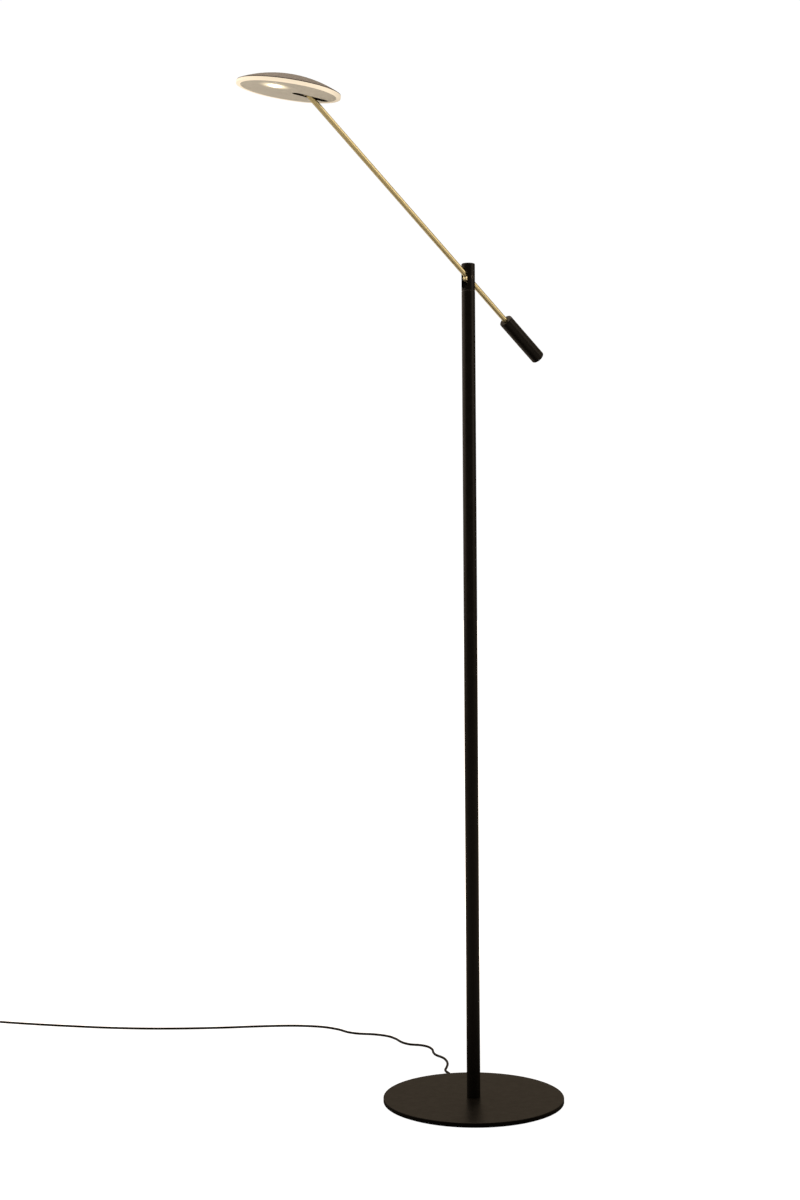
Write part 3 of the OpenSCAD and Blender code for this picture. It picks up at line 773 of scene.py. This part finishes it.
# ---------------------------------------------------------------- base and pole
def add_base():
    """Round plate with rounded rims, counterbore and lead groove, on its foam pad."""
    rim = 1.0
    bore = 5.2
    flange_r, flange_top = 10.5, PAD_T + 3.6
    groove_half = CORD_D / 2 + 0.3
    groove_top = EXIT_Z / MM + CORD_D / 2 + 0.6
    pad_r = BASE_R - 3
    soft = 0.3
    profile = [(bore, PLATE_TOP)]
    profile += arc(BASE_R - rim, PLATE_TOP - rim, rim, 90, 0, 6)
    profile += arc(BASE_R - rim, PAD_T + rim, rim, 0, -90, 6)
    profile += [(flange_r, PAD_T), (flange_r, flange_top), (bore, flange_top)]
    plate = lathe(profile, 256, closed=True)
    groove = outline_box(0, -groove_half, BASE_R + 5, groove_half, 0.3)
    plate = cut(plate, turned(sheet_metal([groove], -1, groove_top, 0.2), AT_EXIT))
    place_piece("base_plate_shaped", plate, Matrix(), "black_paint", "base",
                ["base_plate"])
    pad = [(0, 0)] + arc(pad_r - soft, soft, soft, -90, 0, 4)
    pad += arc(pad_r - soft, PAD_T - soft, soft, 0, 90, 4) + [(0, PAD_T)]
    place_piece("base_pad_shaped", lathe(pad, 192), Matrix(), "foam", "base",
                ["base_pad"])


def add_pole():
    """Pole tube with eased ends, and the washer in the seam above it."""
    washer_r = POLE_R - 0.4
    washer_bore = 6.3
    pole = tube(POLE_R, POLE_R - POLE_WALL, PLATE_TOP, POLE_TOP, 0.5, 128)
    place_piece("pole_tube_shaped", pole, Matrix(), "black_paint", "base",
                ["pole_tube"])
    washer = tube(washer_r, washer_bore, POLE_TOP, HEAD_BOTTOM, 0.15, 96)
    place_piece("swivel_washer_shaped", washer, Matrix(), "black_plastic", "base",
                ["swivel_washer"])


def add_relief():
    """Tapered strain relief with a collar and moulded rings."""
    start = BASE_R - 6
    tip = RELIEF_END / MM
    collar_r, collar_round = 2.6, 0.4
    rings, pitch, ring_round = 5, 2.6, 0.3
    profile = [(0, start), (RELIEF_NECK_R, start), (RELIEF_NECK_R, BASE_R + 0.1)]
    profile += arc(collar_r, BASE_R + 0.6, collar_round, -90, 0, 3)
    profile += arc(collar_r, BASE_R + 2.2, collar_round, 0, 90, 3)
    for i in range(rings):
        low = BASE_R + 3.0 + i * pitch
        radius = 2.9 - 0.1 * i
        profile += [(radius - 0.35, low)]
        profile += arc(radius - ring_round, low + 0.7, ring_round, -90, 0, 2)
        profile += arc(radius - ring_round, low + 1.5, ring_round, 0, 90, 2)
        profile += [(radius - 0.4, low + 2.1)]
    profile += [(2.25, BASE_R + 17), (2.1, tip), (1.9, tip), (0, tip - 1)]
    relief = turned(lathe(profile, 40), Z_TO_X)
    matrix = AT_EXIT @ Matrix.Translation((0, 0, EXIT_Z))
    return place_piece("strain_relief_shaped", relief, matrix, "cord_jacket", "base",
                       ["strain_relief"])


# ---------------------------------------------------------------- pole head and barrel
def add_pole_head():
    """Slotted head with its spigot, the screw holes and the bore for the lead."""
    top = HEAD_BOTTOM + HEAD_LEN
    spigot_r, spigot_end = 6.0, HEAD_BOTTOM - 34
    bore_r, bore_top = 3, HEAD_BOTTOM - 24
    edge = 0.35
    ring_pitch, ring_count = 3, 12
    profile = [(bore_r, spigot_end), (spigot_r, spigot_end), (spigot_r, HEAD_BOTTOM)]
    profile += arc(POLE_R - edge, HEAD_BOTTOM + edge, edge, -90, 0, 3)
    profile += [(POLE_R, HEAD_BOTTOM + ring_pitch * k) for k in range(1, ring_count + 1)]
    profile += arc(POLE_R - HEAD_ROUND, top - HEAD_ROUND, HEAD_ROUND, 0, 90, 8)
    profile += [(0, top), (0, bore_top), (bore_r, bore_top)]
    half = SLOT_W / 2
    outline = outline_slot(SLOT_LOW + half, SLOT_HIGH - half, half, 32)
    slot = turned(
        sheet_metal([outline], -15, 15, 0.01, 0), Matrix.Rotation(-math.pi / 2, 4, "Y"),
        (0, 0, HEAD_BOTTOM),
    )
    holes = turned(drill_bit(PIVOT_SCREW_R, -20, 20, 48), Z_TO_Y, (0, 0, PIVOT_Z))
    lead = turned(drill_bit(bore_r, -60, 10, 48), Matrix(), (0, 0, HEAD_BOTTOM))
    head = cut(lathe(profile, 128), slot, holes, lead, bevel=edge)
    place_piece("pole_head_shaped", head, Matrix(), "black_paint", "swivel_head",
                ["pole_head"])


def add_pivot_screws():
    """Two dog-point screws with hexagon sockets."""
    ear = POLE_R - 0.6
    tip = BARREL_HALF - 1.25
    shoulder = SLOT_W / 2 + 0.1
    round_r = 0.3
    socket_r, socket_depth = 1.45, 1.6
    dish_r, dish_depth = 1.75, 0.15
    profile = [(0, tip), (DOG_R - 0.2, tip), (DOG_R, tip + 0.2), (DOG_R, shoulder)]
    profile += [(PIVOT_SCREW_R - 0.02, shoulder)]
    profile += arc(PIVOT_SCREW_R - 0.32, ear - round_r, round_r, 0, 90, 4)
    profile += [(dish_r, ear), (dish_r, ear - dish_depth), (0, ear - dish_depth)]
    screws = []
    for turn in (Z_TO_Y, Matrix.Rotation(math.pi / 2, 4, "X")):
        socket = drill_bit(socket_r, ear - socket_depth, ear + 2, 6)
        screws.append(turned(cut(lathe(profile, 48), socket), turn, (0, 0, PIVOT_Z)))
    place_piece("pivot_screws_shaped", joined(*screws), Matrix(), "black_screw", "swivel_head",
                ["pivot_screws"])


def add_barrel():
    """Turned brass barrel with two fine grooves, cross-bored for the rod and slit below it."""
    edge = 0.6
    chamfer = 0.2
    socket_r, socket_end = DOG_R + 0.05, BARREL_HALF - 1.35
    bore_r, brake_r = ROD_R + 0.05, 1.5
    slit_half = 0.8
    profile = [(0, -socket_end), (socket_r, -socket_end), (socket_r, chamfer - BARREL_HALF)]
    profile += [(socket_r + chamfer, -BARREL_HALF)]
    profile += arc(BARREL_R - edge, edge - BARREL_HALF, edge, -90, 0, 4)
    for groove in (-4.6, 4.6):
        profile += [(BARREL_R, groove - 0.25), (BARREL_R - 0.2, groove), (BARREL_R, groove + 0.25)]
    profile += arc(BARREL_R - edge, BARREL_HALF - edge, edge, 0, 90, 4)
    profile += [(socket_r + chamfer, BARREL_HALF), (socket_r, BARREL_HALF - chamfer)]
    profile += [(socket_r, socket_end), (0, socket_end)]
    barrel = turned(lathe(profile, 96), Z_TO_Y)
    bore = turned(drill_bit(bore_r, -20, 20, 64), Z_TO_X)
    brake = drill_bit(brake_r, 0, 20, 32)
    slit = sheet_metal([outline_box(-10, -slit_half, 10, slit_half, 0.1)], -10, 0, 0.01, 0)
    barrel = cut(barrel, bore, brake, slit, bevel=chamfer)
    place_piece("pivot_barrel_shaped", barrel, AT_PIVOT, "brass_turned", "barrel",
                ["pivot_barrel"])


# ---------------------------------------------------------------- rod and counterweight
def add_rod():
    """Hollow brass rod with eased ends and a hole for the lead in the barrel."""
    start = 4.2 - ARM_REACH
    end = WEIGHT_GAP + ROD_IN_WEIGHT
    lead_hole_r = 1.5
    rod = turned(tube(ROD_R, ROD_BORE_R, start, end, 0.25, 64), Z_TO_X)
    rod = cut(rod, drill_bit(lead_hole_r, -10, 0, 24))
    place_piece("arm_rod_shaped", rod, AT_ROD, "brass", "arm", ["arm_rod"])


def add_weight():
    """Counterweight with rounded rims, bored for the rod and cross-drilled for its screw."""
    low, high = WEIGHT_GAP, WEIGHT_GAP + WEIGHT_LEN
    bore_end = low + ROD_IN_WEIGHT
    mouth = 0.4
    screw_r, screw_at = 2, low + 22
    profile = [(0, bore_end), (ROD_R, bore_end), (ROD_R, low + mouth), (ROD_R + mouth, low)]
    profile += arc(WEIGHT_R - WEIGHT_ROUND, low + WEIGHT_ROUND, WEIGHT_ROUND, -90, 0, 8)
    profile += arc(WEIGHT_R - WEIGHT_ROUND, high - WEIGHT_ROUND, WEIGHT_ROUND, 0, 90, 8)
    profile += [(0, high)]
    weight = turned(lathe(profile, 128), Z_TO_X)
    weight = cut(weight, turned(drill_bit(screw_r, 0, 20, 32), Z_TO_Y, (screw_at, 0, 0)))
    place_piece("counterweight_shaped", weight, AT_ROD, "black_paint", "arm",
                ["counterweight"])


# ---------------------------------------------------------------- lamp disc
def dome_arc(inset, outer, steps):
    """Points of the domed cover's section at an inset, from a radius to the centre."""
    sphere_r = (DOME_R ** 2 + DOME_H ** 2) / (2 * DOME_H)
    centre_z = RING_T + DOME_LIP + DOME_H - sphere_r
    radius = sphere_r - inset
    points = []
    for i in range(steps + 1):
        r = outer * math.cos(math.pi / 2 * i / steps)
        points.append((r if i < steps else 0.0, centre_z + math.sqrt(radius ** 2 - r ** 2)))
    return points


def add_dome():
    """Domed cover with a short upright lip, rounded shoulder and three screw posts.

    The lip's lower face, which lies on the light ring, is left open.
    """
    lip = 0.3
    post_r, post_bore, post_top = 3.5, 1.25, 14.3
    post_at = 48
    profile = arc(DOME_R - lip, RING_T + lip, lip, -90, 0, 3)
    profile += [(DOME_R, RING_T + DOME_LIP - 0.1)]
    profile += dome_arc(0, DOME_R - 0.35, 40)
    profile += dome_arc(DOME_WALL, DOME_R - DOME_WALL, 24)[::-1]
    profile += [(DOME_R - DOME_WALL, RING_T)]
    parts = [lathe(profile, 192)]
    for degrees in (60, 180, 300):
        turn = math.radians(degrees)
        shift = (post_at * math.cos(turn), post_at * math.sin(turn), 0)
        post = tube(post_r, post_bore, RING_T + PLATE_T, post_top, 0.2, 32)
        parts.append(turned(post, Matrix(), shift))
    place_piece("head_dome_shaped", joined(*parts), AT_DISC, "dome_paint", "lamp_disc",
                ["head_dome"])


def add_ring():
    """Translucent ring with rounded outer edges and a step for the grey plate."""
    seat = PLATE_R + 0.2
    chamfer = 0.15
    soft, top_edge = 1.0, 0.25
    profile = [(seat, chamfer), (seat + chamfer, 0)]
    profile += arc(DISC_R - soft, soft, soft, -90, 0, 6)
    profile += arc(DISC_R - top_edge, RING_T - top_edge, top_edge, 0, 90, 3)
    profile += [(RING_INNER_R, RING_T), (RING_INNER_R, PLATE_T), (seat, PLATE_T)]
    place_piece("light_ring_shaped", lathe(profile, 192, closed=True), AT_DISC, "ring_acrylic",
                "lamp_disc", ["light_ring"])


def add_plate():
    """Grey plate with the slot for the rod and the hole for the lens, all edges eased."""
    outlines = [
        outline_circle(0, 0, PLATE_R, 192),
        outline_slot(*TROUGH_X, TROUGH_R + TROUGH_WALL + 0.2),
        outline_circle(*SPOT_AT, SPOT_R + 0.1),
    ]
    plate = sheet_metal(outlines, 0, PLATE_T, 0.3)
    place_piece("under_plate_shaped", plate, AT_DISC, "grey_paint", "lamp_disc",
                ["under_plate"])


def add_lens():
    """Lens with shallow rings on its bulged face."""
    sphere = (SPOT_R ** 2 + SPOT_BULGE ** 2) / (2 * SPOT_BULGE)
    centre = sphere - SPOT_BULGE
    ripple_height, ripple_pitch = 0.05, 2.0
    steps = 40
    profile = []
    for i in range(steps + 1):
        r = SPOT_R * i / steps
        wave = ripple_height * math.cos(2 * math.pi * r / ripple_pitch) if 0 < i < steps else 0
        profile.append((r, centre - math.sqrt(sphere ** 2 - r ** 2) + wave))
    profile += [(SPOT_R, PLATE_T + 0.6), (SPOT_R - 0.2, PLATE_T + 0.8), (0, PLATE_T + 0.8)]
    lens = turned(lathe(profile, 96), Matrix(), (*SPOT_AT, 0))
    place_piece("spot_lens_shaped", lens, AT_DISC, "lens", "lamp_disc", ["spot_lens"])


# ---------------------------------------------------------------- adapter and tie
def add_adapter():
    """Plug-in adapter: two half shells with a parting line, grip ribs, gland and blades."""
    length, width, height = ADAPTER_SIZE
    x0, x1 = GLAND_LEN, GLAND_LEN + length
    half = width / 2
    seam = 0.2
    shell = outline_box(x0, -half, x1, half, 4)
    inside = outline_box(x0 + 1, 1 - half, x1 - 1, half - 1, 3)
    parts = [
        sheet_metal([shell], 0, height / 2 - seam, 1.2, 5),
        sheet_metal([shell], height / 2 + seam, height, 1.2, 5),
        sheet_metal([inside], 2, height - 2, 0.2, 1),
    ]
    for i in range(5):
        x = x0 + 14 + 4 * i
        rib = outline_box(x, -12, x + 1.6, 12, 0.7)
        parts.append(sheet_metal([rib], height - 1.0, height + 0.35, 0.3, 2))
    gland = [(0, 0), (CORD_D / 2 + 0.2, 0), (CORD_D / 2 + 0.6, 0.5)]
    for i in range(4):
        low = 1.5 + 3 * i
        radius = 2.7 + 0.3 * i
        neck = radius - 0.45
        gland += [(radius, low), (radius, low + 1.6), (neck, low + 2.0), (neck, low + 2.6)]
    gland += [(4, GLAND_LEN), (4, GLAND_LEN + 2), (0, GLAND_LEN + 2)]
    parts.append(turned(lathe(gland, 40), Z_TO_X, (0, 0, GLAND_Z)))
    body = place_piece("adapter_shaped", joined(*parts), AT_ADAPTER, "black_plastic", "base",
                       ["adapter_body"])
    x = x1 - 22
    blade_w, blade_half_t, blade_offset = 6.3, 0.75, 6.35
    outline = outline_box(x, half - 1, x + blade_w, half + 17, 1.0)
    hole = outline_circle(x + blade_w / 2, half + 12.5, 1.6, 24)
    blades = [
        sheet_metal([outline, hole], z - blade_half_t, z + blade_half_t, 0.25, 2)
        for z in (height / 2 - blade_offset, height / 2 + blade_offset)
    ]
    pins = place_piece("adapter_blades_shaped", joined(*blades), AT_ADAPTER, "blade_metal",
                       "base", ["adapter_pins"])
    return [body, pins]


def add_tie():
    """Ribbon tie round the coil, closed by a twist of its two ends."""
    turn = math.radians(245)
    out = Vector((math.cos(turn), math.sin(turn), 0))
    middle = COIL_AT + out * (COIL_R - CORD_D * MM)
    matrix = frame_matrix(middle, out, Vector((-out.y, out.x, 0)))
    half_w, thickness = 2.4, 0.35
    rows = []
    for x, z in outline_box(-6.5, 0.05, 6.5, 8.7, 1.6, 6):
        inward = (Vector((x, 0, z)) - Vector((0, 0, 4.4))).normalized() * thickness
        outer = [Vector((x, y, z)) for y in (-half_w, half_w)]
        rows.append(outer + [point - inward for point in reversed(outer)])
    parts = [skin(rows, closed=True)]
    steps = 36
    for side in (0, 1):
        rows = []
        for i in range(steps + 1):
            share = i / steps
            spin = math.pi * (side + 4 * share)
            axis = Vector((2 + 9 * share, 2.2 * share, 8.9 + 2.6 * math.sin(share * 2.4)))
            wide = Vector((0, math.cos(spin), math.sin(spin)))
            thick = Vector((0, -math.sin(spin), math.cos(spin))) * 0.2
            near, far = axis + wide * 0.15, axis + wide * 1.9
            rows.append([near + thick, far + thick, far - thick, near - thick])
        parts.append(skin(rows, capped=True))
    return place_piece("cord_tie_shaped", joined(*parts), matrix, "black_plastic", "base",
                       ["cord_tie"])


# ---------------------------------------------------------------- build
add_base()
add_pole()
relief = add_relief()
add_pole_head()
add_pivot_screws()
add_barrel()
add_rod()
add_weight()
add_dome()
add_ring()
add_plate()
add_lens()
adapter_pieces = add_adapter()
tie = add_tie()
cord.data.materials.append(MATERIALS["cord_jacket"])


def dress_cad_nodes():
    """Gives each CAD node that still shows the material of its record slot."""
    for part in frame["record"]["subparts"]:
        node = frame["nodes"][part["node"]]
        node.data.materials.clear()
        node.data.materials.append(MATERIALS[part["material_slot"]])


dress_cad_nodes()


# ---------------------------------------------------------------- floor, light and sky
FLOOR_DROP = 0.0003
FLOOR_RINGS = (0.0, 0.5, 1.0, 2.0, 4.0, 8.0, 16.0, 32.0, 64.0)
DARK_FLOOR = (0.07, 0.07, 0.07)
PALE_FLOOR = ((0.8, 0.8, 0.8), (0.84, 0.84, 0.84))
FLOOR_CHANGES_OVER = (0.3, 1.2)
LAMP_TINT = (1.0, 0.82, 0.67)
SIDE_TINT = (1.0, 0.82, 0.65)
SKY_TINT = (1.0, 0.79, 0.56)
SKY_STRENGTH = (0.04, 0.5)
SKY_RISES_OVER = (-0.02, 0.46)
BACKDROP_STRENGTH = 1.02


def add_floor():
    """Wide pale floor just under the pad; the camera sees it white, and it is dark near the base
    for the light that it throws back.
    """
    mesh = lathe([(radius / MM, 0) for radius in FLOOR_RINGS], 64)
    mesh.transform(Matrix.Diagonal((MM, MM, MM, 1)))
    mesh.transform(Matrix.Translation((0, 0, -FLOOR_DROP)))
    material = bpy.data.materials.new("floor_paint")
    material.use_nodes = True
    tree = material.node_tree
    shader = tree.nodes["Principled BSDF"]
    point = position(tree)
    reach = add(tree, "ShaderNodeVectorMath", {0: point}, operation="LENGTH").outputs["Value"]
    pale = blend_colours(tree, noise_at(tree, point, 0.4), *PALE_FLOOR)
    share = spread(tree, reach, 0, 1, *FLOOR_CHANGES_OVER)
    tone = blend_colours(tree, share, DARK_FLOOR, pale)
    tree.links.new(tone, shader.inputs["Base Color"])
    shader.inputs["Roughness"].default_value = 0.9
    shader.inputs["Specular IOR Level"].default_value = 0.1
    seen = add(tree, "ShaderNodeLightPath").outputs["Is Camera Ray"]
    tree.links.new(seen, shader.inputs["Emission Strength"])
    shader.inputs["Emission Color"].default_value = (1, 1, 1, 1)
    mesh.materials.append(material)
    floor = bpy.data.objects.new("floor", mesh)
    SCENE.collection.objects.link(floor)


def add_area(name, place, target, size, power, colour):
    """Soft rectangular light at a place, aimed at a target, unseen by the camera."""
    data = bpy.data.lights.new(name, "AREA")
    data.shape = "RECTANGLE"
    data.size, data.size_y = size
    data.energy = power
    data.color = colour
    light = bpy.data.objects.new(name, data)
    aim = (Vector(target) - Vector(place)).to_track_quat("-Z", "Y")
    light.matrix_world = Matrix.Translation(place) @ aim.to_matrix().to_4x4()
    light.visible_camera = False
    SCENE.collection.objects.link(light)


def add_lights():
    """Two tall soft lights beside the lamp, one behind it to the left, and one above it."""
    back, right, up = TO_CAMERA, CAMERA_RIGHT, Vector((0, 0, 1))
    middle = (0, 0, 1.2)
    tall = (1.4, 1.8)
    wide = (2.6, 2.6)
    add_area("light_left", right * -2.4 + back * 0.1 + up * 1.6, middle, tall, 16, SIDE_TINT)
    add_area("light_right", right * 2.2 + back * 0.7 + up * 1.8, middle, tall, 18, SIDE_TINT)
    add_area("light_rear", right * -2.2 - back * 1.4 + up * 1.7, middle, tall, 13, LAMP_TINT)
    add_area("light_top", -back * 0.6 + up * 3.4, (0, 0, 0), wide, 66, LAMP_TINT)


def add_sky():
    """White surroundings for the camera; for all else a warm light that grows towards the top."""
    world = bpy.data.worlds.new("studio")
    world.use_nodes = True
    tree = world.node_tree
    soft = tree.nodes["Background"]
    soft.inputs["Color"].default_value = (*SKY_TINT, 1)
    ray = add(tree, "ShaderNodeTexCoord").outputs["Generated"]
    height = add(tree, "ShaderNodeSeparateXYZ", {0: ray}).outputs["Z"]
    strength = spread(tree, height, *SKY_STRENGTH, *SKY_RISES_OVER)
    tree.links.new(strength, soft.inputs["Strength"])
    backdrop = add(
        tree, "ShaderNodeBackground", {"Color": (1, 1, 1, 1), "Strength": BACKDROP_STRENGTH}
    )
    seen = add(tree, "ShaderNodeLightPath").outputs["Is Camera Ray"]
    both = add(tree, "ShaderNodeMixShader", {0: seen, 1: soft.outputs[0], 2: backdrop.outputs[0]})
    tree.links.new(both.outputs[0], tree.nodes["World Output"].inputs["Surface"])
    SCENE.world = world


add_floor()
add_lights()
add_sky()
SCENE.view_settings.view_transform = "Standard"
